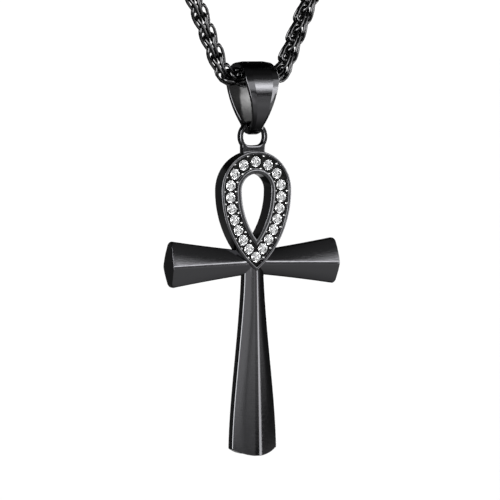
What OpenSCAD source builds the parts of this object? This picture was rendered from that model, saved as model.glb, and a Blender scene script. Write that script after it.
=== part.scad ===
// Ankh pendant on a bail, hung from a closed round wheat chain.
// All sizes are millimetres. X is the width, Y the depth with the front towards -Y, and +Z is up.
// The origin is where the chain rests on the nape, under the middle of the clasp.

/* [Arms of the ankh] */
// Width of the ankh across both arms
arm_span = 31.5; // [26:0.1:36]
// Height of an arm at its flat end
arm_end_h = 7.9; // [6:0.1:9]
// Height that the arms have where they cross
arm_root_h = 3.7; // [3:0.1:4.6]
// How far the long edges of an arm dip below a straight line
arm_sag = 0.1; // [0:0.05:0.4]
// Front-to-back depth over the ridges at an arm's end
arm_end_depth = 4; // [3:0.1:5]
// Front-to-back depth over the ridges where the arms cross
arm_root_depth = 2.9; // [2.4:0.1:3.1]
// Thickness of the narrow top and bottom walls of an arm
arm_wall = 1.1; // [0.8:0.1:1.6]
// How far the ridge sinks towards an arm's end
ridge_drop = 0.4; // [0:0.1:0.8]
// How far the middle of an arm's end reaches beyond its corners
end_bulge = 0.35; // [0.2:0.05:0.6]

/* [Stem of the ankh] */
// Length of the stem below the ridge of the arms
stem_len = 32.2; // [26:0.1:40]
// Width of the stem under the arms
stem_top_w = 3.6; // [3:0.1:4.4]
// Width of the stem at its foot
stem_foot_w = 8.5; // [6:0.1:10]
// Front-to-back depth over the ridges at the foot
stem_foot_depth = 4.8; // [3.6:0.1:5.6]
// Thickness of the narrow side walls of the stem
stem_wall = 1.4; // [0.8:0.1:1.8]
// How far the middle of the foot reaches below its corners
foot_bulge = 1.2; // [0.6:0.1:2]

/* [Loop of the ankh] */
// Radius of the middle line of the loop at its widest
loop_r = 4.8; // [4.4:0.1:6]
// Height of the loop's widest place above the ridge of the arms
loop_rise = 12.05; // [11:0.05:14]
// Height of the lower tip of the loop's middle line above the ridge of the arms
loop_tip = 0.95; // [0.6:0.05:1.6]
// Width of the loop's band
band_w = 3.75; // [3.4:0.05:4.4]
// Front-to-back depth of the band
band_depth = 3.2; // [3:0.1:4]
// Width of the raised rim outside the channel
rim_w = 0.5; // [0.3:0.05:0.6]
// Width of the raised rim inside the channel
inner_rim_w = 0.75; // [0.5:0.05:0.9]
// Depth of the channel between the rims
channel_depth = 0.35; // [0.2:0.05:0.6]

/* [Stones] */
// Diameter of a stone at its girdle
stone_d = 1.75; // [1.3:0.05:1.8]
// Number of stones round the loop
stone_count = 20; // [12:2:20]
// Distance between the stones near the lower tip
stone_pitch = 1.87; // [1.85:0.01:1.95]
// Clearance round a stone in its seat
stone_play = 0.03; // [0.02:0.01:0.05]
// Diameter of the small beads of metal between the stones
bead_d = 0.5; // [0.3:0.05:0.55]

/* [Eye] */
// Outer diameter of the eye on top of the loop
eye_d = 5.2; // [4.6:0.1:6]
// Thickness of the eye's wall, measured outwards
eye_wire = 0.65; // [0.4:0.05:0.7]
// Front-to-back depth of the eye
eye_depth = 1.2; // [0.8:0.1:1.4]
// Height of the eye's middle above the top of the loop
eye_rise = 2.4; // [2.3:0.1:3.2]
// Height of the foot that fills the bottom of the eye, above the top of the loop
eye_foot_h = 0.9; // [0.6:0.05:1]

/* [Bail] */
// Height of the bail from its arch to its foot
bail_h = 12.2; // [11:0.05:15]
// Width of the bail at its arch
bail_w = 6.2; // [5:0.1:8]
// Width of the bail where it passes through the eye
bail_foot_w = 2.3; // [1.6:0.1:2.4]
// Front-to-back depth of the bail over its leaves
bail_depth = 8.2; // [7.2:0.1:10]
// Thickness of the bail's strap
bail_strap = 0.95; // [0.7:0.05:1.1]
// Radius of the bowed outer face of the leaves
bail_leaf_r = 8.5; // [8:0.5:20]
// Width of the bevel along the edges of the strap, as a share of half its width
bail_bevel = 0.42; // [0.1:0.02:0.5]
// Depth of that bevel
bail_bevel_depth = 0.2; // [0.1:0.05:0.4]
// Clearance between the bail and what hangs in it
bail_play = 0.15; // [0.1:0.05:0.3]

/* [Chain] */
// Length of the closed chain along its middle line
chain_len = 560; // [450:5:700]
// Diameter of the chain over its links
chain_d = 3.3; // [2.4:0.1:3.4]
// Lean of each strand from the vertical, in degrees
strand_lean = 23.3; // [18:0.1:30]
// Radius of the chain's bend beside the bail
chain_bend = 3.2; // [2.6:0.1:6]

/* [Clasp] */
// Length of the barrel clasp
clasp_len = 12; // [9:0.5:16]
// Diameter of the barrel clasp
clasp_d = 5; // [4.8:0.1:6]
// Depth that each end of the chain goes into the barrel
clasp_grip = 2.5; // [1.5:0.1:3.5]
// Clearance round the ends of the chain in the barrel
clasp_play = 0.25; // [0.2:0.05:0.4]

/* [Hidden] */

metal = [0.10, 0.10, 0.11];
clear_stone = [0.92, 0.94, 0.97];
cut = 0.1;              // how far a cutting body reaches past the face that it cuts
arm_stations = 8;       // sections along one arm
stem_stations = 14;     // sections along the stem
flare_ease = 0.7;       // how strongly the stem's flare starts and ends upright
arc_fn = 96;

channel_half = (band_w - rim_w - inner_rim_w) / 2;
rim_out = channel_half + rim_w;
rim_in = channel_half + inner_rim_w;
bead_r = bead_d / 2;

// The side of the loop is one arc that runs from the widest place to the lower tip
side_drop = loop_rise - loop_tip;
side_r = (pow(side_drop, 2) + pow(loop_r, 2)) / (2 * loop_r);
side_offset = side_r - loop_r;
side_sweep = asin(side_drop / side_r);
side_len = side_r * side_sweep * PI / 180;
half_path = side_len + loop_r * PI / 2;
half_count = stone_count / 2;

// Cut of a round stone, as shares of its radius
stone_sides = 8;
table_share = 0.56;
crown_mid_share = 0.78;
crown_share = 0.34;
girdle_share = 0.06;
pavilion_share = 0.84;
pavilion_mid_share = 0.3;
stone_r = stone_d / 2;
stone_lift = 0.08;      // height of the girdle above the floor of the channel
bead_sink = 0.06;       // how deep the middle of a bead lies under that floor
seat_depth = stone_r * (pavilion_share + girdle_share);

// The wire of the eye turns inside the rounded foot of the bail
eye_mean_r = (eye_d - eye_wire) / 2;
wire_sag = eye_mean_r - sqrt(pow(eye_mean_r, 2) - pow(bail_foot_w / 2, 2));
foot_r = norm([eye_depth / 2, eye_wire / 2 + wire_sag]) + bail_play;

// Profile of the bail seen from the side: an arch, two bowed leaves and a rounded foot
arch_r = (bail_depth - bail_strap) / 2;
foot_mid_r = foot_r + bail_strap / 2;
leaf_r = bail_leaf_r - bail_strap / 2;
leaf_drop = bail_h - bail_depth / 2 - foot_r - bail_strap;
leaf_up = (pow(leaf_r - foot_mid_r, 2) - pow(leaf_r - arch_r, 2) + pow(leaf_drop, 2)) / (2 * leaf_drop);
leaf_side = sqrt(pow(leaf_r - foot_mid_r, 2) - pow(leaf_up, 2));
arch_angle = atan2(leaf_drop - leaf_up, leaf_side);
foot_angle = atan2(-leaf_up, leaf_side);
taper_top = leaf_drop + arch_r / 4;

// Route of the chain: level in the bail, a bend, a straight strand, and a round top over the neck
chain_r = chain_d / 2;
turn = 90 - strand_lean;
strand_start = [bail_w / 2 + chain_bend * sin(turn), chain_bend * (1 - cos(turn))];
strand_skip = strand_start[0] / sin(strand_lean);
apex_drop = strand_skip * cos(strand_lean) - strand_start[1];
end_len = bail_w / 2 + chain_bend * turn * PI / 180;
top_sweep = 90 + strand_lean;
top_r = (chain_len / 2 - end_len + strand_skip) / (1 / tan(strand_lean) + top_sweep * PI / 180);
top_centre = top_r / sin(strand_lean) - apex_drop;
route_h = top_centre + top_r;
strand_len = top_r / tan(strand_lean) - strand_skip;
end_half = clasp_len / 2 - clasp_grip;
end_sweep = asin(end_half / top_r);
bend_rings = 6;
strand_rings = 16;
top_rings = 15;
tube_sides = 8;

// Heights of the parts above the origin
clasp_z = clasp_d / 2;
chain_z = clasp_z - route_h;
arch_top = chain_z + chain_r + bail_play + bail_strap;
wire_z = arch_top - bail_h + bail_strap + foot_r;
loop_top = loop_rise + loop_r + rim_out;
ankh_z = wire_z - eye_mean_r - eye_rise - loop_top;

function stone_name(i) = str("stone_", i < 9 ? "0" : "", i + 1);

// Side faces of a skin over rings of points, and the faces that close its two ends
function skin_sides(rings, count, closed) = [
    for (i = [0 : rings - (closed ? 1 : 2)], k = [0 : count - 1])
        let (a = i * count + k, b = i * count + (k + 1) % count,
             c = ((i + 1) % rings) * count + (k + 1) % count, d = ((i + 1) % rings) * count + k)
        each [[a, b, c], [a, c, d]]];
function skin_ends(rings, count) = [
    [for (k = [count - 1 : -1 : 0]) k],
    [for (k = [0 : count - 1]) (rings - 1) * count + k]];

module skin(sections, closed = false) {
    count = len(sections[0]);
    rings = len(sections);
    polyhedron(points = [for (s = sections, p = s) p],
               faces = concat(skin_sides(rings, count, closed), closed ? [] : skin_ends(rings, count)));
}

// Six-sided section of an arm, with a ridge on the front and on the back
function arm_section(x, share) =
    let (half_h = (arm_root_h + (arm_end_h - arm_root_h) * share) / 2 - 4 * arm_sag * share * (1 - share),
         ridge = (arm_root_depth + (arm_end_depth - arm_root_depth) * share) / 2,
         wall = arm_wall / 2,
         mid = -ridge_drop * share)
    [[x, -wall, half_h], [x, wall, half_h], [x, ridge, mid],
     [x, wall, -half_h], [x, -wall, -half_h], [x, -ridge, mid]];

// Both arms in one piece, with gently domed ends
module arms() {
    half = arm_span / 2;
    end_arc_r = (pow(arm_end_h / 2, 2) + pow(end_bulge, 2)) / (2 * end_bulge);
    intersection() {
        skin([for (i = [-arm_stations : arm_stations])
            arm_section(half * i / arm_stations, abs(i) / arm_stations)]);
        translate([end_arc_r - half, 0, 0]) rotate([90, 0, 0])
            cylinder(r = end_arc_r, h = 2 * arm_end_depth, center = true, $fn = arc_fn);
        translate([half - end_arc_r, 0, 0]) rotate([90, 0, 0])
            cylinder(r = end_arc_r, h = 2 * arm_end_depth, center = true, $fn = arc_fn);
    }
}

// Share of the stem's flare that is reached at a share of its length
function flare(t) = t + flare_ease * (t * t * (3 - 2 * t) - t);

// Six-sided section of the stem, with a ridge on the front and on the back
function stem_section(z, share) =
    let (half_w = (stem_top_w + (stem_foot_w - stem_top_w) * flare(share)) / 2,
         ridge = (arm_root_depth + (stem_foot_depth - arm_root_depth) * share) / 2,
         wall = stem_wall / 2)
    [[-half_w, -wall, z], [0, -ridge, z], [half_w, -wall, z],
     [half_w, wall, z], [0, ridge, z], [-half_w, wall, z]];

module stem() {
    foot_arc_r = (pow(stem_foot_w / 2, 2) + pow(foot_bulge, 2)) / (2 * foot_bulge);
    block_h = stem_len + foot_bulge;
    intersection() {
        skin([for (i = [0 : stem_stations])
            stem_section(-stem_len * i / stem_stations, i / stem_stations)]);
        union() {
            translate([0, 0, foot_arc_r - stem_len]) rotate([90, 0, 0])
                cylinder(r = foot_arc_r, h = 2 * stem_foot_depth, center = true, $fn = arc_fn);
            translate([-stem_foot_w, -stem_foot_depth, foot_bulge - stem_len])
                cube([2 * stem_foot_w, 2 * stem_foot_depth, block_h]);
        }
    }
}

// Outline of the loop at a distance outside its middle line
module loop_outline(out) {
    circle(r = loop_r + out, $fn = arc_fn);
    intersection() {
        translate([-side_offset, 0]) circle(r = side_r + out, $fn = arc_fn);
        translate([side_offset, 0]) circle(r = side_r + out, $fn = arc_fn);
        translate([-side_r, -2 * side_r]) square([2 * side_r, 2 * side_r]);
    }
}

// Stands a flat shape up, facing the front, from depth y to the back
module standing(y, depth) {
    translate([0, y + depth, loop_rise]) rotate([90, 0, 0]) linear_extrude(depth) children();
}

// Point on the loop's middle line at a length from the lower tip, moved outwards by out
function path_point(s, out) =
    s <= side_len
        ? let (a = side_sweep - s / side_r * 180 / PI)
          [(side_r + out) * cos(a) - side_offset, loop_rise - (side_r + out) * sin(a)]
        : let (a = (s - side_len) / loop_r * 180 / PI)
          [(loop_r + out) * cos(a), loop_rise + (loop_r + out) * sin(a)];

// Length from the lower tip to a stone; the stones stand a little wider apart at the top
function stone_step(k) = k * stone_pitch + (half_path - half_count * stone_pitch) * pow(k / half_count, 5);

// Point for stone number i, counted up the right side and down the left
function round_point(i, out) =
    i <= half_count
        ? path_point(stone_step(i), out)
        : let (p = path_point(stone_step(stone_count - i), out)) [-p[0], p[1]];

module beads() {
    side = channel_half - 0.7 * bead_r;
    for (i = [0 : stone_count - 1], out = [-side, side]) {
        p = round_point(i + 0.5, out);
        if (abs(p[0]) > bead_r)
            translate([p[0], channel_depth + bead_sink - band_depth / 2, p[1]]) sphere(r = bead_r, $fn = 24);
    }
}

module stone_seats() {
    for (i = [0 : stone_count - 1])
        translate([round_point(i, 0)[0], 0, round_point(i, 0)[1]])
            translate([0, channel_depth - band_depth / 2 - stone_lift - cut, 0]) rotate([-90, 0, 0])
                cylinder(r = stone_r + stone_play, h = seat_depth + stone_lift + cut, $fn = arc_fn);
}

module eye() {
    foot_top = loop_top + eye_foot_h;
    translate([0, 0, loop_top + eye_rise]) rotate([90, 0, 0]) rotate_extrude($fn = arc_fn)
        translate([eye_mean_r - eye_wire / 2, -eye_depth / 2]) square([eye_wire, eye_depth]);
    foot_half = sqrt(pow(eye_d / 2, 2) - pow(eye_rise - eye_foot_h, 2));
    translate([-foot_half, -eye_depth / 2, loop_top - rim_out])
        cube([2 * foot_half, eye_depth, foot_top - loop_top + rim_out]);
}

// One casting: arms, stem, loop with its channel, and the eye that the bail goes through
module ankh() {
    color(metal) translate([0, 0, ankh_z]) {
        difference() {
            union() {
                arms();
                stem();
                standing(-band_depth / 2, band_depth) loop_outline(rim_out);
            }
            standing(-band_depth, 2 * band_depth) loop_outline(-rim_in);
            standing(-band_depth, band_depth / 2 + channel_depth) difference() {
                loop_outline(channel_half);
                loop_outline(-channel_half);
            }
            stone_seats();
        }
        beads();
        eye();
    }
}

// Ring of points of a cut stone round the Z axis
function stone_ring(n, turned, share, z) = [
    for (k = [0 : n - 1]) let (a = (k + turned) * 360 / n)
        [stone_r * share * cos(a), stone_r * share * sin(a), z]];

// Round brilliant: table, 8 star, 8 kite and 16 halving facets above the girdle, 24 facets below
module brilliant() {
    sides = 2 * stone_sides;
    crown = crown_share * stone_r;
    half_step = cos(180 / stone_sides);
    crown_mid_z = crown * (1 - crown_mid_share * half_step) / (1 - table_share);
    low = -girdle_share * stone_r;
    culet = low - pavilion_share * stone_r;
    low_mid_z = culet + pavilion_share * stone_r * pavilion_mid_share * half_step;
    points = concat(
        stone_ring(stone_sides, 0, table_share, crown),
        stone_ring(stone_sides, 0.5, crown_mid_share, crown_mid_z),
        stone_ring(sides, 0, 1, 0), stone_ring(sides, 0, 1, low),
        stone_ring(stone_sides, 0.5, pavilion_mid_share, low_mid_z), [[0, 0, culet]]);
    mid = stone_sides;
    top_edge = mid + stone_sides;
    low_edge = top_edge + sides;
    low_mid = low_edge + sides;
    tip = low_mid + stone_sides;
    faces = concat(
        [[for (k = [stone_sides - 1 : -1 : 0]) k]],
        [for (k = [0 : stone_sides - 1])
            let (next = (k + 1) % stone_sides, before = (k + stone_sides - 1) % stone_sides,
                 main = 2 * k, half = main + 1, after = (main + 2) % sides)
            each [[k, next, mid + k],
                  [k, mid + k, top_edge + main], [k, top_edge + main, mid + before],
                  [mid + k, top_edge + half, top_edge + main],
                  [mid + k, top_edge + after, top_edge + half],
                  [low_mid + k, low_edge + main, low_edge + half],
                  [low_mid + k, low_edge + half, low_edge + after],
                  [tip, low_edge + main, low_mid + k], [tip, low_mid + before, low_edge + main]]],
        [for (k = [0 : sides - 1])
            let (next = (k + 1) % sides)
            each [[top_edge + k, top_edge + next, low_edge + next],
                  [top_edge + k, low_edge + next, low_edge + k]]]);
    polyhedron(points = points, faces = faces);
}

module stone(i) {
    p = round_point(i, 0);
    color(clear_stone)
        translate([p[0], channel_depth - band_depth / 2 - stone_lift, ankh_z + p[1]])
            rotate([90, 0, 0]) brilliant();
}

// Stations round the bail's profile: centre of the arc, its radius and the angle on it
function bail_arc(y, z, r, from, to, steps) = [
    for (i = [0 : steps - 1]) [y, z, r, from + (to - from) * i / steps]];
bail_stations = concat(
    bail_arc(0, leaf_drop, arch_r, arch_angle, 180 - arch_angle, 24),
    bail_arc(leaf_side, leaf_up, leaf_r, 180 - arch_angle, 180 - foot_angle, 10),
    bail_arc(0, 0, foot_mid_r, 180 - foot_angle, 360 + foot_angle, 10),
    bail_arc(-leaf_side, leaf_up, leaf_r, foot_angle, arch_angle, 10));

// Half the width of the strap at a height above the middle of the eye's wire
function strap_half(z) =
    (bail_foot_w + (bail_w - bail_foot_w) * max(0, min(1, z / taper_top))) / 2;

// Section of the strap at a station: flat inside, bevelled along both edges outside
function strap_section(s) =
    let (r_in = s[2] - bail_strap / 2, r_out = s[2] + bail_strap / 2,
         half = strap_half(s[1] + s[2] * sin(s[3])), flat = half * (1 - bail_bevel),
         corners = [[-half, r_in], [half, r_in], [half, r_out - bail_bevel_depth],
                    [flat, r_out], [-flat, r_out], [-half, r_out - bail_bevel_depth]])
    [for (c = corners) [c[0], s[0] + c[1] * cos(s[3]), wire_z + s[1] + c[1] * sin(s[3])]];

// Folded strap with both leaves soldered together below the eye
module bail() {
    color(metal) skin([for (s = bail_stations) strap_section(s)], true);
}

// Right half of the chain's route from the bail up to the clasp, as [x, z]
half_route = concat(
    [for (i = [0 : bend_rings]) let (a = turn * i / bend_rings)
        [bail_w / 2 + chain_bend * sin(a), chain_bend * (1 - cos(a))]],
    [for (i = [1 : strand_rings]) let (s = strand_len * i / strand_rings)
        [strand_start[0] + s * sin(strand_lean), strand_start[1] + s * cos(strand_lean)]],
    [for (i = [1 : top_rings]) let (a = -strand_lean + (top_sweep - end_sweep) * i / top_rings)
        [top_r * cos(a), top_centre + top_r * sin(a)]]);
route = concat(
    [for (i = [len(half_route) - 1 : -1 : 0]) [-half_route[i][0], half_route[i][1]]], half_route);

// Ring of the chain's tube round a point of the route, square to the route there
function tube_ring(i) =
    let (last = len(route) - 1, p = route[i],
         way = route[min(i + 1, last)] - route[max(i - 1, 0)], ahead = way / norm(way))
    [for (k = [0 : tube_sides - 1]) let (a = k * 360 / tube_sides)
        [p[0] - ahead[1] * chain_r * cos(a), chain_r * sin(a),
         chain_z + p[1] + ahead[0] * chain_r * cos(a)]];

module chain() {
    color(metal) skin([for (i = [0 : len(route) - 1]) tube_ring(i)]);
}

// Plain barrel at the nape that takes both ends of the chain
module clasp() {
    bevel = clasp_d / 8;
    drop = top_r - sqrt(pow(top_r, 2) - pow(clasp_len / 2, 2));
    bore_r = chain_r + clasp_play;
    color(metal) translate([0, 0, clasp_z]) rotate([0, 90, 0]) difference() {
        rotate_extrude($fn = arc_fn) polygon([
            [0, -clasp_len / 2], [clasp_d / 2 - bevel, -clasp_len / 2],
            [clasp_d / 2, bevel - clasp_len / 2], [clasp_d / 2, clasp_len / 2 - bevel],
            [clasp_d / 2 - bevel, clasp_len / 2], [0, clasp_len / 2]]);
        for (side = [-1, 1]) translate([drop / 2, 0, side * clasp_len / 2])
            cylinder(r = bore_r, h = 2 * (clasp_grip + clasp_play), center = true, $fn = arc_fn);
    }
}

ankh();
bail();
chain();
clasp();
for (i = [0 : stone_count - 1])
    stone(i);
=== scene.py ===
import bpy
import bmesh
import math
from mathutils import Matrix, Vector


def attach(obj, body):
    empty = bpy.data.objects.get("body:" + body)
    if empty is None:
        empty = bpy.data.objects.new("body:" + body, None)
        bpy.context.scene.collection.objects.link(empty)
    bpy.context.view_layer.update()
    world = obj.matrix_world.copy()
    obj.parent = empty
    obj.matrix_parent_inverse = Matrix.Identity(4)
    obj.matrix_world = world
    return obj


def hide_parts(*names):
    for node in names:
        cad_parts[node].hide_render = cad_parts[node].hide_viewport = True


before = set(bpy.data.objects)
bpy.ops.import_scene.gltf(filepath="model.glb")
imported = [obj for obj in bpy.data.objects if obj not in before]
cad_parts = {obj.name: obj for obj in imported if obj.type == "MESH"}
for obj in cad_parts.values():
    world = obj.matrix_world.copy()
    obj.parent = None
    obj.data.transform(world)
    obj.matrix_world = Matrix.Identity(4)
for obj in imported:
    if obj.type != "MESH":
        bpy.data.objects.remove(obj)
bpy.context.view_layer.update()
scene = bpy.context.scene
MM = 0.001

# ---- The chain
# A round wheat chain of closed wire links. Each link is folded in half and threaded through the folds of the
# link before it, and every second link is turned a quarter. It lies level in the bail, and both ends go into
# the clasp on the nape. Sizes here and below are millimetres.
chain_len, chain_d, chain_bend = 560.0, 3.3, 3.2
strand_lean = math.radians(23.3)
bail_w = 6.2
clasp_len, clasp_d, clasp_grip = 12.0, 5.0, 2.5
turn = math.pi / 2 - strand_lean
level_len = bail_w / 2
bend_len = chain_bend * turn
strand_start = Vector((level_len + chain_bend * math.sin(turn), chain_bend * (1 - math.cos(turn))))
strand_skip = strand_start.x / math.sin(strand_lean)
apex_drop = strand_skip * math.cos(strand_lean) - strand_start.y
top_sweep = math.pi / 2 + strand_lean
top_r = (chain_len / 2 - level_len - bend_len + strand_skip) / (1 / math.tan(strand_lean) + top_sweep)
top_centre = top_r / math.sin(strand_lean) - apex_drop
strand_len = top_r / math.tan(strand_lean) - strand_skip
half_len = level_len + bend_len + strand_len + top_r * (
    top_sweep - math.asin((clasp_len / 2 - clasp_grip) / top_r))
chain_z = clasp_d / 2 - top_centre - top_r


def route_point(length):
    """Place and direction on the chain's middle line, by the length from its lowest point."""
    side = 1 if length >= 0 else -1
    s = abs(length)
    if s <= level_len:
        x, z, angle = s, 0.0, 0.0
    elif s <= level_len + bend_len:
        angle = (s - level_len) / chain_bend
        x, z = level_len + chain_bend * math.sin(angle), chain_bend * (1 - math.cos(angle))
    elif s <= level_len + bend_len + strand_len:
        angle = turn
        run = s - level_len - bend_len
        x, z = strand_start.x + run * math.sin(strand_lean), strand_start.y + run * math.cos(strand_lean)
    else:
        swing = (s - level_len - bend_len - strand_len) / top_r - strand_lean
        angle = swing + math.pi / 2
        x, z = top_r * math.cos(swing), top_centre + top_r * math.sin(swing)
    return Vector((side * x, 0, chain_z + z)), Vector((math.cos(angle), 0, side * math.sin(angle)))


# The shape of a folded link, as the shares of a few waves across the chain, out of it and along it
wire_d, link_pitch = 0.52, 3.6
link_steps, wire_sides = 40, 6
link_girth = 1.065
fold_across = (0.533, -0.414, 0.168)
fold_out = (0.956, 0.698, 0.062)
fold_along = (2.185, 0.694, 0.243)
bulge_out = (-0.057, 0.041, -0.057)
bulge_along = (-0.206, -0.258)


def link_curve(crosswise, roll):
    """Middle line of one folded link as distances (across, out, along) from the chain's middle line."""
    line = []
    for step in range(link_steps):
        t = 2 * math.pi * step / link_steps
        a = sum(c * math.cos((2 * n + 1) * t) for n, c in enumerate(fold_across))
        b = sum(c * math.sin((2 * n + 1) * t) for n, c in enumerate(fold_out))
        b += sum(c * math.cos(2 * n * t) for n, c in enumerate(bulge_out))
        s = sum(c * math.cos((2 * n + 2) * t) for n, c in enumerate(fold_along))
        s += sum(c * math.sin((2 * n + 1) * t) for n, c in enumerate(bulge_along))
        if crosswise:
            a, b = -b, a
        line.append((link_girth * (a * math.cos(roll) - b * math.sin(roll)),
                     link_girth * (a * math.sin(roll) + b * math.cos(roll)), s))
    return line


def wire_loop(points, wire_r):
    """Corners and faces of a closed round wire through points."""
    slanting = Vector((0.3, 0.5, 0.8))
    ups = []
    for k, point in enumerate(points):
        ahead = (points[(k + 1) % len(points)] - points[k - 1]).normalized()
        up = ups[-1][1] if ups else slanting.cross(ahead)
        ups.append((ahead, (up - ahead * up.dot(ahead)).normalized()))
    ahead, first_up = ups[0]
    last_up = ups[-1][1]
    twist = math.atan2(last_up.dot(ahead.cross(first_up)), last_up.dot(first_up))
    corners = []
    for k, (ahead, up) in enumerate(ups):
        for n in range(wire_sides):
            a = 2 * math.pi * n / wire_sides - twist * k / len(points)
            corners.append(points[k] + (up * math.cos(a) + ahead.cross(up) * math.sin(a)) * wire_r)
    faces = [(k * wire_sides + n, k * wire_sides + (n + 1) % wire_sides,
              (k + 1) % len(points) * wire_sides + (n + 1) % wire_sides,
              (k + 1) % len(points) * wire_sides + n)
             for k in range(len(points)) for n in range(wire_sides)]
    return corners, faces


# Where the middle of link 0 lies, and how the links turn about the chain from the left strand to the right
first_middle = -7.27
roll_left, roll_right, roll_run = math.radians(157.5), math.radians(180), 12.0
link_half = max(abs(s) for _, _, s in link_curve(False, 0)) + wire_d / 2
links_left = int((half_len - link_half + first_middle) / (link_pitch / 2))
links_right = int((half_len - link_half - first_middle) / (link_pitch / 2))
chain_corners, chain_faces = [], []
for number in range(-links_left, links_right + 1):
    middle = first_middle + number * link_pitch / 2
    roll = roll_left + (roll_right - roll_left) * max(0.0, min(1.0, 0.5 + middle / roll_run))
    points = []
    for across, out, along in link_curve(number % 2 == 1, roll):
        place, ahead = route_point(middle + along)
        points.append(place + Vector((-ahead.z, 0, ahead.x)) * across + Vector((0, out, 0)))
    start = len(chain_corners)
    corners, faces = wire_loop(points, wire_d / 2)
    chain_corners += corners
    chain_faces += [tuple(start + corner for corner in face) for face in faces]


# Black plating: fine polishing lines and a soft cloud in the gloss, and a paler colour along the edges that
# is partly rub and partly painted highlight
def node_group(name, inputs, outputs):
    """A new group of shader nodes, with the nodes of its inputs and its outputs."""
    group = bpy.data.node_groups.new(name, "ShaderNodeTree")
    for label, kind, default in inputs:
        group.interface.new_socket(label, in_out="INPUT", socket_type=kind).default_value = default
    for label, kind in outputs:
        group.interface.new_socket(label, in_out="OUTPUT", socket_type=kind)
    return group, group.nodes.new("NodeGroupInput"), group.nodes.new("NodeGroupOutput")


line_stretch, line_detail, cloud_detail, average = (1.0, 1.0, 14.0), 3.0, 4.0, 0.5
polish, given, result = node_group(
    "polishing_lines",
    [("Line Size", "NodeSocketFloat", 900.0), ("Cloud Size", "NodeSocketFloat", 160.0),
     ("Gloss", "NodeSocketFloat", 0.14), ("Unevenness", "NodeSocketFloat", 0.06)],
    [("Roughness", "NodeSocketFloat"), ("Height", "NodeSocketFloat")])
where = polish.nodes.new("ShaderNodeTexCoord")
stretch = polish.nodes.new("ShaderNodeMapping")
stretch.inputs["Scale"].default_value = line_stretch
polish.links.new(where.outputs["Object"], stretch.inputs["Vector"])
lines = polish.nodes.new("ShaderNodeTexNoise")
lines.inputs["Detail"].default_value = line_detail
polish.links.new(stretch.outputs["Vector"], lines.inputs["Vector"])
polish.links.new(given.outputs["Line Size"], lines.inputs["Scale"])
cloud = polish.nodes.new("ShaderNodeTexNoise")
cloud.inputs["Detail"].default_value = cloud_detail
polish.links.new(where.outputs["Object"], cloud.inputs["Vector"])
polish.links.new(given.outputs["Cloud Size"], cloud.inputs["Scale"])
centred = polish.nodes.new("ShaderNodeMath")
centred.operation = "SUBTRACT"
centred.inputs[1].default_value = average
polish.links.new(cloud.outputs["Fac"], centred.inputs[0])
gloss = polish.nodes.new("ShaderNodeMath")
gloss.operation = "MULTIPLY_ADD"
gloss.use_clamp = True
polish.links.new(centred.outputs[0], gloss.inputs[0])
polish.links.new(given.outputs["Unevenness"], gloss.inputs[1])
polish.links.new(given.outputs["Gloss"], gloss.inputs[2])
polish.links.new(gloss.outputs[0], result.inputs["Roughness"])
polish.links.new(lines.outputs["Fac"], result.inputs["Height"])

# Pointiness picks out the convex edges, which are painted paler: partly rub, partly painted highlight
edge_rub_and_highlight, given, result = node_group(
    "rubbed_edges_and_painted_highlight",
    [("From", "NodeSocketFloat", 0.52), ("To", "NodeSocketFloat", 0.62),
     ("Patch Size", "NodeSocketFloat", 700.0)],
    [("Mask", "NodeSocketFloat")])
shape = edge_rub_and_highlight.nodes.new("ShaderNodeNewGeometry")
edge = edge_rub_and_highlight.nodes.new("ShaderNodeMapRange")
edge_rub_and_highlight.links.new(shape.outputs["Pointiness"], edge.inputs["Value"])
edge_rub_and_highlight.links.new(given.outputs["From"], edge.inputs["From Min"])
edge_rub_and_highlight.links.new(given.outputs["To"], edge.inputs["From Max"])
where = edge_rub_and_highlight.nodes.new("ShaderNodeTexCoord")
patches = edge_rub_and_highlight.nodes.new("ShaderNodeTexNoise")
edge_rub_and_highlight.links.new(where.outputs["Object"], patches.inputs["Vector"])
edge_rub_and_highlight.links.new(given.outputs["Patch Size"], patches.inputs["Scale"])
both = edge_rub_and_highlight.nodes.new("ShaderNodeMath")
both.operation = "MULTIPLY"
edge_rub_and_highlight.links.new(edge.outputs["Result"], both.inputs[0])
edge_rub_and_highlight.links.new(patches.outputs["Fac"], both.inputs[1])
edge_rub_and_highlight.links.new(both.outputs[0], result.inputs["Mask"])


line_height, line_strength = 0.00002, 0.3


def plated_black(name, gloss=0.12, unevenness=0.06, rubbed_and_highlight=(0.16, 0.16, 0.165),
                 plating=(0.055, 0.055, 0.058)):
    """Black plated steel with its own gloss and wear. Its paler edges are partly rub and partly painted
    highlight.
    """
    material = bpy.data.materials.new(name)
    material.use_nodes = True
    nodes, links = material.node_tree.nodes, material.node_tree.links
    shader = nodes["Principled BSDF"]
    shader.inputs["Metallic"].default_value = 1.0
    lines = nodes.new("ShaderNodeGroup")
    lines.node_tree = polish
    lines.inputs["Gloss"].default_value = gloss
    lines.inputs["Unevenness"].default_value = unevenness
    links.new(lines.outputs["Roughness"], shader.inputs["Roughness"])
    bump = nodes.new("ShaderNodeBump")
    bump.inputs["Distance"].default_value = line_height
    bump.inputs["Strength"].default_value = line_strength
    links.new(lines.outputs["Height"], bump.inputs["Height"])
    links.new(bump.outputs["Normal"], shader.inputs["Normal"])
    edges = nodes.new("ShaderNodeGroup")
    edges.node_tree = edge_rub_and_highlight
    shade = nodes.new("ShaderNodeMix")
    shade.data_type = "RGBA"
    shade.inputs["A"].default_value = (*plating, 1)
    # The paler edge colour is partly rub and partly painted highlight
    shade.inputs["B"].default_value = (*rubbed_and_highlight, 1)
    links.new(edges.outputs["Mask"], shade.inputs["Factor"])
    links.new(shade.outputs["Result"], shader.inputs["Base Color"])
    return material


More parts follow.
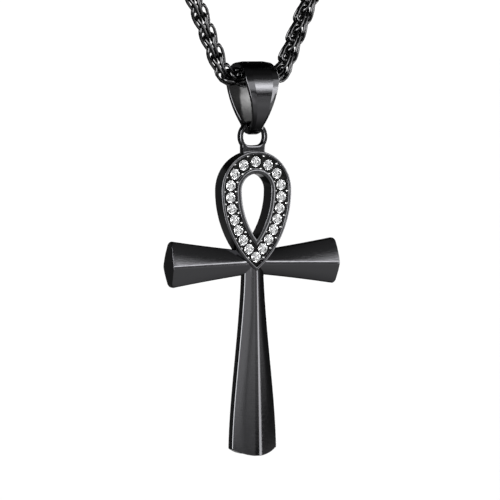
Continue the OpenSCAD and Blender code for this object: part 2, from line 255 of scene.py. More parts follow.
def new_piece(name, corners, faces, materials):
    """An object from corners in millimetres, shaded smooth, with its place in its mesh."""
    mesh = bpy.data.meshes.new(name)
    mesh.from_pydata([Vector(c) * MM for c in corners], [], faces)
    for material in materials:
        mesh.materials.append(material)
    mesh.validate()
    for polygon in mesh.polygons:
        polygon.use_smooth = True
    piece = bpy.data.objects.new(name, mesh)
    scene.collection.objects.link(piece)
    return piece


plated_wire = plated_black("plated_wire", gloss=0.1, rubbed_and_highlight=(0.07, 0.07, 0.07), plating=(0.045, 0.045, 0.047))
links = new_piece("wheat_chain", chain_corners, chain_faces, [plated_wire])
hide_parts("chain")
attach(links, "chain")


# ---- The bail
# A steel strap folded over the chain, bevelled along both edges and plated black like the ankh. Its inside is
# left dull and is rubbed paler by the chain, with painted shade darkening its left side. Its leaves are
# soldered together below the wire of the eye.
bail_foot_w, bail_depth, bail_h, bail_strap, bail_play = 2.3, 8.2, 12.2, 0.95, 0.15
bail_bevel, bail_bevel_depth, leaf_outer_r = 0.42, 0.2, 8.5
eye_d, eye_wire, eye_depth = 5.2, 0.65, 1.2
eye_mean_r = (eye_d - eye_wire) / 2
wire_sag = eye_mean_r - math.sqrt(eye_mean_r ** 2 - (bail_foot_w / 2) ** 2)
foot_r = math.hypot(eye_depth / 2, eye_wire / 2 + wire_sag) + bail_play
wire_z = chain_z + chain_d / 2 + bail_play + 2 * bail_strap - bail_h + foot_r
arch_r = (bail_depth - bail_strap) / 2
foot_mid_r = foot_r + bail_strap / 2
leaf_r = leaf_outer_r - bail_strap / 2
leaf_drop = bail_h - bail_depth / 2 - foot_r - bail_strap
leaf_up = ((leaf_r - foot_mid_r) ** 2 - (leaf_r - arch_r) ** 2 + leaf_drop ** 2) / (2 * leaf_drop)
leaf_side = math.sqrt((leaf_r - foot_mid_r) ** 2 - leaf_up ** 2)
arch_angle = math.atan2(leaf_drop - leaf_up, leaf_side)
foot_angle = math.atan2(-leaf_up, leaf_side)
taper_top = leaf_drop + arch_r / 4
arch_steps, leaf_steps, foot_steps, corner_steps = 40, 20, 18, 3
inner_edge_r, side_edge_r, bevel_edge_r, polished_off = 0.16, 0.14, 0.12, 0.01


def rounded_outline(corners, radii, steps=corner_steps):
    """A closed outline whose corners are rounded by their radii."""
    points = []
    for k, (corner, radius) in enumerate(zip(corners, radii)):
        here = Vector(corner)
        back = (Vector(corners[k - 1]) - here).normalized()
        ahead = (Vector(corners[(k + 1) % len(corners)]) - here).normalized()
        if radius <= 0:
            points.append(here)
            continue
        half = back.angle(ahead) / 2
        reach = radius / math.tan(half)
        centre = here + (back + ahead).normalized() * radius / math.sin(half)
        first, last = here + back * reach - centre, here + ahead * reach - centre
        turn = first.angle(last)
        for s in range(steps + 1):
            a = turn * s / steps
            points.append(centre + (first * math.sin(turn - a) + last * math.sin(a)) / math.sin(turn))
    return points


def bail_arc(y, z, radius, start, end, steps):
    """Stations along one arc of the fold, each with the arc's centre, its radius and an angle on it."""
    return [(y, z, radius, start + (end - start) * i / steps) for i in range(steps)]


# Once round the fold: the arch, one leaf, the foot and the other leaf
bail_stations = (
    bail_arc(0, leaf_drop, arch_r, arch_angle, math.pi - arch_angle, arch_steps)
    + bail_arc(leaf_side, leaf_up, leaf_r, math.pi - arch_angle, math.pi - foot_angle, leaf_steps)
    + bail_arc(0, 0, foot_mid_r, math.pi - foot_angle, 2 * math.pi + foot_angle, foot_steps)
    + bail_arc(-leaf_side, leaf_up, leaf_r, foot_angle, arch_angle, leaf_steps))


def strap_section(y, z, radius, angle):
    """Section of the strap at a station. It is flat inside, and bevelled along both edges outside."""
    inner, outer = radius - bail_strap / 2, radius + bail_strap / 2 - polished_off
    height = z + radius * math.sin(angle)
    half = (bail_foot_w + (bail_w - bail_foot_w) * max(0.0, min(1.0, height / taper_top))) / 2
    flat = half * (1 - bail_bevel)
    outline = rounded_outline(
        [(-half, inner), (half, inner), (half, outer - bail_bevel_depth), (flat, outer), (-flat, outer),
         (-half, outer - bail_bevel_depth)],
        [inner_edge_r, inner_edge_r, side_edge_r, bevel_edge_r, bevel_edge_r, side_edge_r])
    return [Vector((x, y + r * math.cos(angle), z + r * math.sin(angle))) for x, r in outline]


def skin(rings, closed):
    """Corners and faces of a skin over rings of points."""
    count, rows = len(rings[0]), len(rings)
    faces = [(i * count + k, i * count + (k + 1) % count,
              (i + 1) % rows * count + (k + 1) % count, (i + 1) % rows * count + k)
             for i in range(rows if closed else rows - 1) for k in range(count)]
    if not closed:
        faces += [tuple(range(count - 1, -1, -1)), tuple(range((rows - 1) * count, rows * count))]
    return [point for ring in rings for point in ring], faces


def working_solid(name, shells):
    """A solid in millimetres, of one or more closed shells, that is still to be cut, joined or rounded."""
    corners, faces = [], []
    for shell_corners, shell_faces in shells:
        start = len(corners)
        corners += shell_corners
        faces += [tuple(start + corner for corner in face) for face in shell_faces]
    mesh = bpy.data.meshes.new(name)
    mesh.from_pydata(corners, [], faces)
    solid = bpy.data.objects.new(name, mesh)
    scene.collection.objects.link(solid)
    shell = bmesh.new()
    shell.from_mesh(mesh)
    bmesh.ops.recalc_face_normals(shell, faces=shell.faces)
    shell.to_mesh(mesh)
    shell.free()
    return solid


crease, weld = math.radians(32), 1e-7


def hang(solid, name, lift, materials):
    """Finishes a working solid: lifts it to its height, scales it to metres and shades it."""
    solid.name = name
    solid.data.name = name
    solid.data.transform(Matrix.Scale(MM, 4) @ Matrix.Translation((0, 0, lift)))
    solid.data.materials.clear()
    for material in materials:
        solid.data.materials.append(material)
    shell = bmesh.new()
    shell.from_mesh(solid.data)
    bmesh.ops.remove_doubles(shell, verts=shell.verts, dist=weld)
    for face in shell.faces:
        face.smooth = True
    for line in shell.edges:
        line.smooth = len(line.link_faces) != 2 or line.calc_face_angle(0) < crease
    shell.to_mesh(solid.data)
    shell.free()
    even = solid.modifiers.new("even_shading", "WEIGHTED_NORMAL")
    even.keep_sharp = True
    even.mode = "FACE_AREA"
    return solid


# The inside is painted black with shade along its left side, and is rubbed through to the bare steel from
# about the middle to the right, with an uneven edge between
shade_edge_scale, shade_edge_spread, shade_to_bare_from, shade_to_bare_to = 900.0, 0.8, -0.45, 0.1
painted_shade_black, bare_steel = (0.02, 0.02, 0.02, 1), (0.15, 0.15, 0.15, 1)
dull_inside_painted_shade = plated_black("dull_inside_painted_shade", gloss=0.52, unevenness=0.2)
nodes, links = dull_inside_painted_shade.node_tree.nodes, dull_inside_painted_shade.node_tree.links
where = nodes.new("ShaderNodeTexCoord")
sideways = nodes.new("ShaderNodeSeparateXYZ")
links.new(where.outputs["Object"], sideways.inputs[0])
uneven_shade_edge = nodes.new("ShaderNodeTexNoise")
uneven_shade_edge.inputs["Scale"].default_value = shade_edge_scale
links.new(where.outputs["Object"], uneven_shade_edge.inputs["Vector"])
scatter = nodes.new("ShaderNodeMath")
scatter.operation = "MULTIPLY_ADD"
scatter.inputs[1].default_value = shade_edge_spread * MM
links.new(uneven_shade_edge.outputs["Fac"], scatter.inputs[0])
links.new(sideways.outputs["X"], scatter.inputs[2])
shade_to_bare = nodes.new("ShaderNodeMapRange")
shade_to_bare.interpolation_type = "SMOOTHSTEP"
shade_to_bare.inputs["From Min"].default_value = shade_to_bare_from * MM
shade_to_bare.inputs["From Max"].default_value = shade_to_bare_to * MM
links.new(scatter.outputs[0], shade_to_bare.inputs["Value"])
steel = nodes.new("ShaderNodeMix")
steel.data_type = "RGBA"
# The black is painted shade; the grey is the bare steel
steel.inputs["A"].default_value, steel.inputs["B"].default_value = painted_shade_black, bare_steel
links.new(shade_to_bare.outputs["Result"], steel.inputs["Factor"])
links.new(steel.outputs["Result"], nodes["Principled BSDF"].inputs["Base Color"])

strap_rings = [strap_section(*station) for station in bail_stations]
strap = hang(working_solid("strap", [skin(strap_rings, closed=True)]), "bail_strap", wire_z,
             [plated_black("plated_strap", gloss=0.08), dull_inside_painted_shade])
for polygon in strap.data.polygons:
    if polygon.index % len(strap_rings[0]) == corner_steps:
        polygon.material_index = 1
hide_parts("bail")
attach(strap, "bail")


# ---- The ankh
# One casting in steel, polished and plated black: two flared arms and a flared stem with a ridge along the
# front and the back, a teardrop loop with a channel between two raised rims, and a flat eye on top.
def settle(solid):
    """Turns an object's modifiers into its mesh."""
    result = bpy.data.meshes.new_from_object(solid.evaluated_get(bpy.context.evaluated_depsgraph_get()))
    solid.modifiers.clear()
    solid.data = result


def round_edges(solid, width, steps, sharper_than):
    """Rounds the edges that turn by more than an angle in degrees."""
    bevel = solid.modifiers.new("rounded", "BEVEL")
    bevel.width, bevel.segments = width, steps
    bevel.limit_method, bevel.angle_limit = "ANGLE", math.radians(sharper_than)
    bevel.use_clamp_overlap = True
    settle(solid)


def join(solid, other, operation="UNION"):
    """Joins another solid to this one, cuts it out of it, or keeps what both share."""
    cut = solid.modifiers.new("join", "BOOLEAN")
    cut.object, cut.operation, cut.solver = other, operation, "EXACT"
    settle(solid)
    bpy.data.objects.remove(other)


arm_half, arm_end_h, arm_root_h, arm_sag = 15.75, 7.9, 3.7, 0.1
arm_end_depth, arm_root_depth, arm_wall, ridge_drop, end_bulge = 4.0, 2.9, 1.1, 0.4, 0.35
arm_stations, facet_crown, facet_bend = 12, 0.028, 4.5
edge_round, arm_ridge_round, end_corner_r, trim_play = 0.35, 1.0, 0.8, 0.05
end_dome_r = 3 * arm_end_h


def six_sided(half_h, wall, ridge, mid, ridge_round):
    """Outline (depth, height) of a bar with a ridge on its front and back. The edges are rounded, and the
    facets are crowned by the polishing."""
    front, back = Vector((-ridge, mid)), Vector((ridge, mid))
    corners, radii = [], []
    for corner, following in (((-wall, half_h), None), ((wall, half_h), back), (back, (wall, -half_h)),
                              ((wall, -half_h), None), ((-wall, -half_h), front), (front, (-wall, half_h))):
        corner = Vector(corner)
        corners.append(corner)
        radii.append(ridge_round if corner in (front, back) else edge_round)
        if following:
            halfway = (corner + Vector(following)) / 2
            along = Vector(following) - corner
            out = Vector((along.y, -along.x)).normalized()
            crown = facet_crown * along.length
            corners.append(halfway + out * (crown if out.x * halfway.x > 0 else -crown))
            radii.append(facet_bend * along.length)
    return rounded_outline(corners, radii)


def arm_section(row):
    """Section of both arms, by the row counted from the middle to the right. It grows towards the ends."""
    share = abs(row) / arm_stations
    half_h = (arm_root_h + (arm_end_h - arm_root_h) * share) / 2 - 4 * arm_sag * share * (1 - share)
    ridge = (arm_root_depth + (arm_end_depth - arm_root_depth) * share) / 2
    outline = six_sided(half_h, arm_wall / 2, ridge, -ridge_drop * share, arm_ridge_round)
    return [Vector((arm_half * row / arm_stations, y, z)) for y, z in outline]


arms = working_solid("arms", [skin([arm_section(row) for row in range(-arm_stations, arm_stations + 1)],
                                   closed=False)])

# The arms are trimmed to their domed ends and round corners
corner_x, corner_z, waist_z = arm_half - end_bulge, arm_end_h / 2 + trim_play, arm_root_h / 2 + trim_play
trim_line = rounded_outline(
    [(corner_x, corner_z), (arm_half, 0), (corner_x, -corner_z), (0, -waist_z), (-corner_x, -corner_z),
     (-arm_half, 0), (-corner_x, corner_z), (0, waist_z)],
    [end_corner_r, end_dome_r, end_corner_r, 0, end_corner_r, end_dome_r, end_corner_r, 0], steps=8)
trim = working_solid("trim", [skin([[Vector((p[0], y, p[1])) for p in trim_line]
                                    for y in (-arm_end_depth, arm_end_depth)], closed=False)])
join(arms, trim, "INTERSECT")
round_edges(arms, width=0.28, steps=4, sharper_than=40)

stem_len, stem_top_w, stem_foot_w, stem_foot_depth, stem_wall = 32.2, 3.6, 8.5, 4.8, 1.4
foot_bulge, flare_ease, stem_stations, stem_ridge_round, foot_ridge_round = 1.2, 0.7, 20, 0.8, 2.0
foot_arc_r = ((stem_foot_w / 2) ** 2 + foot_bulge ** 2) / (2 * foot_bulge)


def stem_section(row):
    """Section of the stem; its lower rows bend down in the middle to the arc of the foot."""
    share = row / stem_stations
    flare = share + flare_ease * (share * share * (3 - 2 * share) - share)
    half_w = (stem_top_w + (stem_foot_w - stem_top_w) * flare) / 2
    ridge = (arm_root_depth + (stem_foot_depth - arm_root_depth) * share) / 2
    ridge_round = stem_ridge_round + (foot_ridge_round - stem_ridge_round) * share
    outline = six_sided(half_w, stem_wall / 2, ridge, 0, ridge_round)
    return [Vector((x, y, -(stem_len - foot_arc_r + math.sqrt(foot_arc_r ** 2 - x ** 2)) * share))
            for y, x in outline]


stem = working_solid("stem", [skin([stem_section(row) for row in range(stem_stations + 1)], closed=False)])
round_edges(stem, width=0.16, steps=3, sharper_than=40)
join(arms, stem)

loop_r, loop_rise, loop_tip = 4.8, 12.05, 0.95
band_w, band_depth, rim_w, inner_rim_w, channel_depth = 3.75, 3.2, 0.5, 0.75, 0.35
channel_half = (band_w - rim_w - inner_rim_w) / 2
rim_out, rim_in = channel_half + rim_w, channel_half + inner_rim_w
side_drop = loop_rise - loop_tip
side_r = (side_drop ** 2 + loop_r ** 2) / (2 * loop_r)
side_offset = side_r - loop_r
side_steps, top_steps = 36, 48
loop_steps = 2 * side_steps + top_steps


def loop_point(step, out):
    """Point of the teardrop, on a line that runs out outside its middle line. Steps run from the lower tip
    up the right side, over the top and down the left side."""
    mirror = step > loop_steps / 2
    if mirror:
        step = loop_steps - step
    if step <= side_steps:
        angle = math.acos(side_offset / (side_r + out)) * (1 - step / side_steps)
        x = (side_r + out) * math.cos(angle) - side_offset
        z = loop_rise - (side_r + out) * math.sin(angle)
    else:
        angle = math.pi * (step - side_steps) / top_steps
        x, z = (loop_r + out) * math.cos(angle), loop_rise + (loop_r + out) * math.sin(angle)
    return (-x if mirror else x), z


def loop_skin(section):
    """Skin of a section, as distances (out, y), that is drawn round the teardrop."""
    rings = []
    for step in range(loop_steps):
        ring = []
        for out, y in section:
            x, z = loop_point(step, out)
            ring.append(Vector((x, y, z)))
        rings.append(ring)
    return skin(rings, closed=True)


front_y, back_y, floor_y = -band_depth / 2, band_depth / 2, channel_depth - band_depth / 2
rim_edge_r, channel_edge_r, floor_edge_r, outer_back_r, inner_back_r = 0.14, 0.12, 0.08, 0.9, 0.5
band = working_solid("band", [loop_skin(rounded_outline(
    [(rim_out, front_y), (rim_out, back_y), (-rim_in, back_y), (-rim_in, front_y),
     (-channel_half, front_y), (-channel_half, floor_y), (channel_half, floor_y), (channel_half, front_y)],
    [rim_edge_r, outer_back_r, inner_back_r, rim_edge_r, channel_edge_r, floor_edge_r, floor_edge_r,
     channel_edge_r]))])
join(arms, band)

# A graver clears what the arms leave in the channel, just short of its walls and its floor
wall_play, floor_play, graver_reach = 0.02, 0.01, 1.0
graver_half, graver_tip, graver_top = channel_half - wall_play, floor_y - floor_play, front_y - graver_reach
graver = working_solid("graver", [loop_skin(
    [(graver_half, graver_top), (graver_half, graver_tip), (-graver_half, graver_tip),
     (-graver_half, graver_top)])])
join(arms, graver, "DIFFERENCE")

stone_d, stone_count, stone_pitch, stone_play, stone_lift = 1.75, 20, 1.87, 0.03, 0.08
side_sweep = math.asin(side_drop / side_r)
side_len = side_r * side_sweep
half_path = side_len + loop_r * math.pi / 2
half_count = stone_count / 2
top_spread = 5


def path_point(length, out):
    """Point on the right half of the teardrop, by the length from its lower tip."""
    if length <= side_len:
        angle = side_sweep - length / side_r
        return ((side_r + out) * math.cos(angle) - side_offset, loop_rise - (side_r + out) * math.sin(angle))
    angle = (length - side_len) / loop_r
    return (loop_r + out) * math.cos(angle), loop_rise + (loop_r + out) * math.sin(angle)


def seat_point(number, out=0.0):
    """Place of a stone on the loop's middle line, counted from the tip up the right side and down the left.
    The stones stand a little wider apart towards the top."""
    k = number if number <= half_count else stone_count - number
    length = k * stone_pitch + (half_path - half_count * stone_pitch) * (k / half_count) ** top_spread
    x, z = path_point(length, out)
    return (x, z) if number <= half_count else (-x, z)


def turned(centre, profile, sides):
    """Skin of a turned shape with its axis to the front, from the radius and depth of its profile."""
    x, z = centre
    return skin([[Vector((x + radius * math.cos(2 * math.pi * k / sides), y,
                          z + radius * math.sin(2 * math.pi * k / sides))) for k in range(sides)]
                 for radius, y in profile], closed=False)


seat_share, seat_sides = 0.95, 32
seat_r, seat_floor = stone_d / 2 + stone_play, floor_y + stone_d / 2 * seat_share
seat_profile = [(seat_r, graver_top), (seat_r, seat_floor)]
seats = working_solid("seats", [turned(seat_point(number), seat_profile, seat_sides)
                                for number in range(stone_count)])
join(arms, seats, "DIFFERENCE")

eye_rise, eye_foot_h, eye_steps, eye_round = 2.4, 0.9, 96, 0.2
foot_reach, foot_corner, front_shares, least_sine = 1.2, 8, (0, 0.25, 0.5, 0.75, 1), 1e-6
eye_outer, eye_inner = eye_d / 2, eye_d / 2 - eye_wire
loop_top = loop_rise + loop_r + rim_out
hole_floor = eye_rise - eye_foot_h
foot_half = math.sqrt(eye_outer ** 2 - hole_floor ** 2)


def eye_radii(angle):
    """Inner and outer radius of the eye, whose foot fills the bottom of the hole. The angle runs from
    straight down."""
    inner, outer = eye_inner, eye_outer
    if abs(angle) < foot_reach:
        inner = (eye_inner ** -foot_corner
                 + (hole_floor / math.cos(angle)) ** -foot_corner) ** (-1 / foot_corner)
    if abs(angle) < math.asin(foot_half / eye_outer):
        side = foot_half / max(abs(math.sin(angle)), least_sine)
        outer = max(eye_outer, min(side, (eye_rise + eye_foot_h) / math.cos(angle)))
    return inner, outer


eye_rings = []
for step in range(eye_steps):
    angle = 2 * math.pi * step / eye_steps - math.pi
    inner, outer = eye_radii(angle)
    front_row = [(inner + (outer - inner) * share, -eye_depth / 2) for share in front_shares]
    eye_line = rounded_outline(front_row + [(outer, eye_depth / 2), (inner, eye_depth / 2)],
                               [eye_round, 0, 0, 0, eye_round, eye_round, eye_round])
    eye_rings.append([Vector((r * math.sin(angle), y, loop_top + eye_rise - r * math.cos(angle)))
                      for r, y in eye_line])
join(arms, working_solid("eye", [skin(eye_rings, closed=True)]))

bead_r, bead_sink, bead_inset, bead_steps, bead_sides = 0.25, 0.06, 0.7, 7, 12
bead_side = channel_half - bead_inset * bead_r
bead_places = [seat_point(number + 0.5, out)
               for number in range(stone_count) for out in (-bead_side, bead_side)]
bead_places = [place for place in bead_places if abs(place[0]) > bead_r]
bead_arc = [math.pi * (k + 0.5) / bead_steps for k in range(bead_steps)]
bead_profile = [(bead_r * math.sin(a), floor_y + bead_sink - bead_r * math.cos(a)) for a in bead_arc]
join(arms, working_solid("beads", [turned(place, bead_profile, bead_sides) for place in bead_places]))

ankh_z = wire_z - eye_mean_r - eye_rise - loop_top
casting = hang(arms, "ankh_casting", ankh_z, [
    plated_black("plated_casting", gloss=0.1, rubbed_and_highlight=(0.11, 0.11, 0.115)),
    # The channel's floor is painted near black as shade in the recess between the stones; it is also rough
    # because it is unpolished
    plated_black("unpolished_channel_painted_shade", gloss=0.6, unevenness=0.2, plating=(0.006, 0.006, 0.006),
                 rubbed_and_highlight=(0.02, 0.02, 0.02)),
    # The beads' pale colour is painted highlight, with some rub
    plated_black("beads_painted_highlight", gloss=0.25, plating=(0.25, 0.25, 0.25), rubbed_and_highlight=(0.5, 0.5, 0.5))])

# The floor of the channel is left unpolished and is painted near black as shade, and the beads are rubbed and
# painted bright as highlight
facing_front, on_floor, on_bead = -0.99, 0.03, 0.1
for polygon in casting.data.polygons:
    x, y, z = polygon.center.x / MM, polygon.center.y / MM, polygon.center.z / MM - ankh_z
    if polygon.normal.y < facing_front and abs(y - floor_y) < on_floor:
        polygon.material_index = 1
    elif y < floor_y and min(abs(math.hypot(x - bead_x, y - floor_y - bead_sink, z - bead_z) - bead_r)
                             for bead_x, bead_z in bead_places) < on_bead * bead_r:
        polygon.material_index = 2
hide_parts("ankh")
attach(casting, "ankh")


# ---- The stones
# Twenty clear round brilliants in the channel, each backed with bright foil and held by its seat and the
# beads of metal. The cut is a table, 8 star, 8 kite and 16 halving facets above the girdle, 24 below.
fine_grain, given, result = node_group(
    "fine_grain",
    [("Fineness", "NodeSocketFloat", 2500.0), ("Lowest", "NodeSocketFloat", 0.0),
     ("Highest", "NodeSocketFloat", 1.0)],
    [("Value", "NodeSocketFloat")])
speckle = fine_grain.nodes.new("ShaderNodeTexNoise")
fine_grain.links.new(given.outputs["Fineness"], speckle.inputs["Scale"])
spread = fine_grain.nodes.new("ShaderNodeMapRange")
fine_grain.links.new(speckle.outputs["Fac"], spread.inputs["Value"])
fine_grain.links.new(given.outputs["Lowest"], spread.inputs["To Min"])
fine_grain.links.new(given.outputs["Highest"], spread.inputs["To Max"])
fine_grain.links.new(spread.outputs["Result"], result.inputs["Value"])


def grained(name, fineness, lowest, highest, varied):
    """A new material, with its shader, in which a fine grain varies one input of the shader."""
    material = bpy.data.materials.new(name)
    material.use_nodes = True
    shader = material.node_tree.nodes["Principled BSDF"]
    grain = material.node_tree.nodes.new("ShaderNodeGroup")
    grain.node_tree = fine_grain
    for label, value in (("Fineness", fineness), ("Lowest", lowest), ("Highest", highest)):
        grain.inputs[label].default_value = value
    material.node_tree.links.new(grain.outputs["Value"], shader.inputs[varied])
    return material, shader


glass, shader = grained("clear_cut_glass", fineness=2500.0, lowest=0.0, highest=0.05, varied="Roughness")
shader.inputs["Transmission Weight"].default_value = 1.0
shader.inputs["IOR"].default_value = 1.9
shader.inputs["Base Color"].default_value = (0.98, 0.99, 1.0, 1)
foil, shader = grained("bright_foil", fineness=3000.0, lowest=0.6, highest=0.7, varied="Base Color")
shader.inputs["Metallic"].default_value = 1.0
shader.inputs["Roughness"].default_value = 0.06

stone_r = stone_d / 2
table_share, crown_mid_share, crown_share = 0.56, 0.78, 0.34
girdle_share, pavilion_share, pavilion_mid_share = 0.06, 0.84, 0.3
half_step = math.cos(math.pi / 8)
crown = crown_share * stone_r
crown_mid_z = crown * (1 - crown_mid_share * half_step) / (1 - table_share)
girdle_z = -girdle_share * stone_r
culet_z = girdle_z - pavilion_share * stone_r
pavilion_mid_z = culet_z + pavilion_share * stone_r * pavilion_mid_share * half_step


def stone_ring(count, shift, share, height):
    """Corners of a cut, spread round the stone and shifted by a share of their spacing."""
    return [(stone_r * share * math.cos(2 * math.pi * (k + shift) / count),
             stone_r * share * math.sin(2 * math.pi * (k + shift) / count), height) for k in range(count)]


sides, edges = 8, 16
cut_corners = (stone_ring(sides, 0, table_share, crown) + stone_ring(sides, 0.5, crown_mid_share, crown_mid_z)
               + stone_ring(edges, 0, 1, 0) + stone_ring(edges, 0, 1, girdle_z)
               + stone_ring(sides, 0.5, pavilion_mid_share, pavilion_mid_z) + [(0, 0, culet_z)])
mid, girdle = sides, 2 * sides
low_edge, low_mid = girdle + edges, girdle + 2 * edges
culet = low_mid + sides
crown_faces = [tuple(range(sides))]
pavilion_faces = []
for k in range(sides):
    crown_faces += [(k, mid + k, (k + 1) % sides),
                    (k, mid + (k - 1) % sides, girdle + 2 * k, mid + k),
                    (mid + k, girdle + 2 * k, girdle + 2 * k + 1),
                    (mid + k, girdle + 2 * k + 1, girdle + (2 * k + 2) % edges)]
    pavilion_faces += [(low_mid + k, low_edge + 2 * k + 1, low_edge + 2 * k),
                       (low_mid + k, low_edge + (2 * k + 2) % edges, low_edge + 2 * k + 1),
                       (culet, low_mid + k, low_edge + 2 * k, low_mid + (k - 1) % sides)]
for k in range(edges):
    crown_faces.append((girdle + k, low_edge + k, low_edge + (k + 1) % edges, girdle + (k + 1) % edges))

spin = math.pi / 8
for number in range(stone_count):
    x, z = seat_point(number)
    name = f"stone_{number + 1:02d}"
    corners = [(x + a * math.cos(spin) - b * math.sin(spin), floor_y - stone_lift - c,
                ankh_z + z + a * math.sin(spin) + b * math.cos(spin)) for a, b, c in cut_corners]
    brilliant = new_piece("cut_" + name, corners, crown_faces + pavilion_faces, [glass, foil])
    for index, polygon in enumerate(brilliant.data.polygons):
        polygon.use_smooth = False
        polygon.material_index = 0 if index < len(crown_faces) else 1
    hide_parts(name)
    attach(brilliant, "ankh")


# ---- The clasp
# A plain barrel on the nape, turned in steel and plated black like the bail. It has a bore at each end, which
# takes one end of the chain.
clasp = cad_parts["clasp"]
clasp.data.materials.clear()
clasp.data.materials.append(plated_black("plated_barrel"))


# ---- The camera, the floor and the lamps
# The pendant hangs in a white studio above a floor of pale paper. A long lens looks at it from the wearer's
# right, a little from above. Soft boxes draw the bright lines on the black metal.
picture_width = 83.33 * MM
lens_mm, sensor_mm = 300.0, 36.0
camera_turn, camera_rise = math.radians(-28.0), math.radians(3.1)
aim_side, aim_rise = -0.4 * MM, 2.07
aim_height = (ankh_z + aim_rise) * MM
nearest, farthest = 0.01, 60.0
scene.view_settings.view_transform = "Standard"


def direction(turn, rise):
    """Direction from the pendant, by its turn from straight in front and its rise."""
    return Vector((math.sin(turn) * math.cos(rise), -math.cos(turn) * math.cos(rise), math.sin(rise)))


lens = bpy.data.cameras.new("long_lens")
lens.lens, lens.sensor_width = lens_mm, sensor_mm
camera = bpy.data.objects.new("camera", lens)
scene.collection.objects.link(camera)
aim = Vector((math.cos(camera_turn) * aim_side, math.sin(camera_turn) * aim_side, aim_height))
towards_camera = direction(camera_turn, camera_rise)
camera.location = aim + towards_camera * picture_width * lens_mm / sensor_mm
camera.rotation_mode = "QUATERNION"
camera.rotation_quaternion = (-towards_camera).to_track_quat("-Z", "Y")
lens.clip_start, lens.clip_end = nearest, farthest
scene.camera = camera

floor_height = -0.32
floor_half = 12.0
floor_mesh = bpy.data.meshes.new("floor")
floor_mesh.from_pydata([(side * floor_half, end * floor_half, floor_height)
                        for side, end in ((-1, -1), (1, -1), (1, 1), (-1, 1))], [], [(0, 1, 2, 3)])
floor = bpy.data.objects.new("floor", floor_mesh)
scene.collection.objects.link(floor)
paper, shader = grained("pale_paper", fineness=40.0, lowest=0.93, highest=0.97, varied="Base Color")
shader.inputs["Roughness"].default_value = 0.9
shader.inputs["Specular IOR Level"].default_value = 0.0
floor_mesh.materials.append(paper)
floor.visible_glossy = False

# The studio is white to the lens, and in the metal it shows these greys from straight down to straight up,
# brightest some 20 degrees below the horizon. Behind the pendant they are almost black.
room = bpy.data.worlds.new("studio")
scene.world = room
room.use_nodes = True
studio = room.node_tree
studio.nodes.clear()
place = studio.nodes.new("ShaderNodeTexCoord")
axes = studio.nodes.new("ShaderNodeSeparateXYZ")
studio.links.new(place.outputs["Generated"], axes.inputs[0])
height_step = studio.nodes.new("ShaderNodeMapRange")
height_step.inputs["From Min"].default_value = -1.0
studio.links.new(axes.outputs["Z"], height_step.inputs["Value"])
levels = studio.nodes.new("ShaderNodeValToRGB")
studio.links.new(height_step.outputs["Result"], levels.inputs["Fac"])
brightest, backdrop = 1.5, 1.08
front_starts, front_full, behind = 0.1, -0.35, 0.06
level_marks = [(0.0, 0.08), (0.07, 0.3), (0.153, 0.85), (0.22, 0.9), (0.3, 1.2), (0.36, 1.1), (0.4, 0.14),
               (0.52, 0.12), (0.77, 0.32), (0.87, 0.1)]
ramp = levels.color_ramp
while len(ramp.elements) < len(level_marks):
    ramp.elements.new(0.5)
for mark, (position, grey) in zip(ramp.elements, level_marks):
    mark.position, mark.color = position, (grey / brightest, grey / brightest, grey / brightest, 1)
front_only = studio.nodes.new("ShaderNodeMapRange")
front_only.inputs["From Min"].default_value = front_starts
front_only.inputs["From Max"].default_value = front_full
front_only.inputs["To Min"].default_value, front_only.inputs["To Max"].default_value = behind, brightest
studio.links.new(axes.outputs["Y"], front_only.inputs["Value"])
mirrored = studio.nodes.new("ShaderNodeBackground")
studio.links.new(levels.outputs["Color"], mirrored.inputs["Color"])
studio.links.new(front_only.outputs["Result"], mirrored.inputs["Strength"])
seen = studio.nodes.new("ShaderNodeBackground")
seen.inputs["Color"].default_value, seen.inputs["Strength"].default_value = (1, 1, 1, 1), backdrop
ray = studio.nodes.new("ShaderNodeLightPath")
either = studio.nodes.new("ShaderNodeMixShader")
studio.links.new(ray.outputs["Is Glossy Ray"], either.inputs["Fac"])
studio.links.new(seen.outputs[0], either.inputs[1])
studio.links.new(mirrored.outputs[0], either.inputs[2])
world_out = studio.nodes.new("ShaderNodeOutputWorld")
studio.links.new(either.outputs[0], world_out.inputs["Surface"])


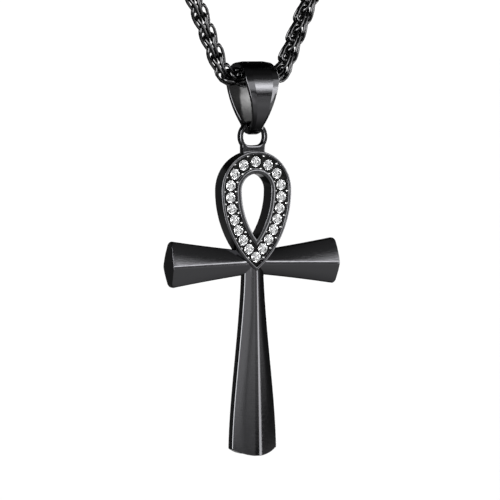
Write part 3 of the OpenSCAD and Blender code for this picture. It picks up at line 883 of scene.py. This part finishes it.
def soft_box(name, turn, rise, width, height, brightness, distance=0.6):
    """A flat lamp that faces the pendant. Its turn, rise, width and height are degrees, as seen from the
    pendant, and its distance is in metres."""
    lamp = bpy.data.lights.new(name, "AREA")
    lamp.shape = "RECTANGLE"
    lamp.size = 2 * distance * math.tan(math.radians(width / 2))
    lamp.size_y = 2 * distance * math.tan(math.radians(height / 2))
    lamp.energy = brightness * math.pi * lamp.size * lamp.size_y
    holder = bpy.data.objects.new(name, lamp)
    scene.collection.objects.link(holder)
    out = direction(math.radians(turn), math.radians(rise))
    holder.location = Vector((0, 0, aim_height)) + out * distance
    holder.rotation_mode = "QUATERNION"
    holder.rotation_quaternion = (-out).to_track_quat("-Z", "Y")
    holder.visible_diffuse = False
    holder.visible_camera = False


# The main lamp is six boxes, one behind the other, so that its light fades towards its edges
band_layers = ((84, 26, 0.7), (80, 22, 1.0), (72, 18, 1.5), (24, 14, 3.0), (22, 10, 3.5), (20, 5, 2.5))
band_distance, layer_gap = 0.6, 0.01
for layer, (width, height, brightness) in enumerate(band_layers):
    soft_box(f"band_box_{layer}", turn=28, rise=15, width=width, height=height, brightness=brightness,
             distance=band_distance + layer_gap * layer)
soft_box("tall_box", turn=47, rise=-4, width=22, height=26, brightness=7.0, distance=0.67)
soft_box("low_band_box", turn=28, rise=-3.6, width=84, height=8.6, brightness=0.9, distance=0.25)
soft_box("left_box", turn=-26, rise=-5, width=48, height=50, brightness=0.45, distance=0.75)
soft_box("near_left_box", turn=-35, rise=3.5, width=36, height=24, brightness=1.3, distance=0.3)
soft_box("right_low_box", turn=72, rise=-17.6, width=30, height=14, brightness=0.4, distance=0.3)
soft_box("left_edge_box", turn=-62, rise=5, width=34, height=60, brightness=13.0, distance=0.7)
soft_box("right_edge_box", turn=112, rise=5, width=26, height=60, brightness=9.0, distance=0.7)
soft_box("back_box", turn=208, rise=0, width=60, height=50, brightness=0.1)
soft_box("back_low_box", turn=150, rise=-25, width=40, height=20, brightness=0.5)
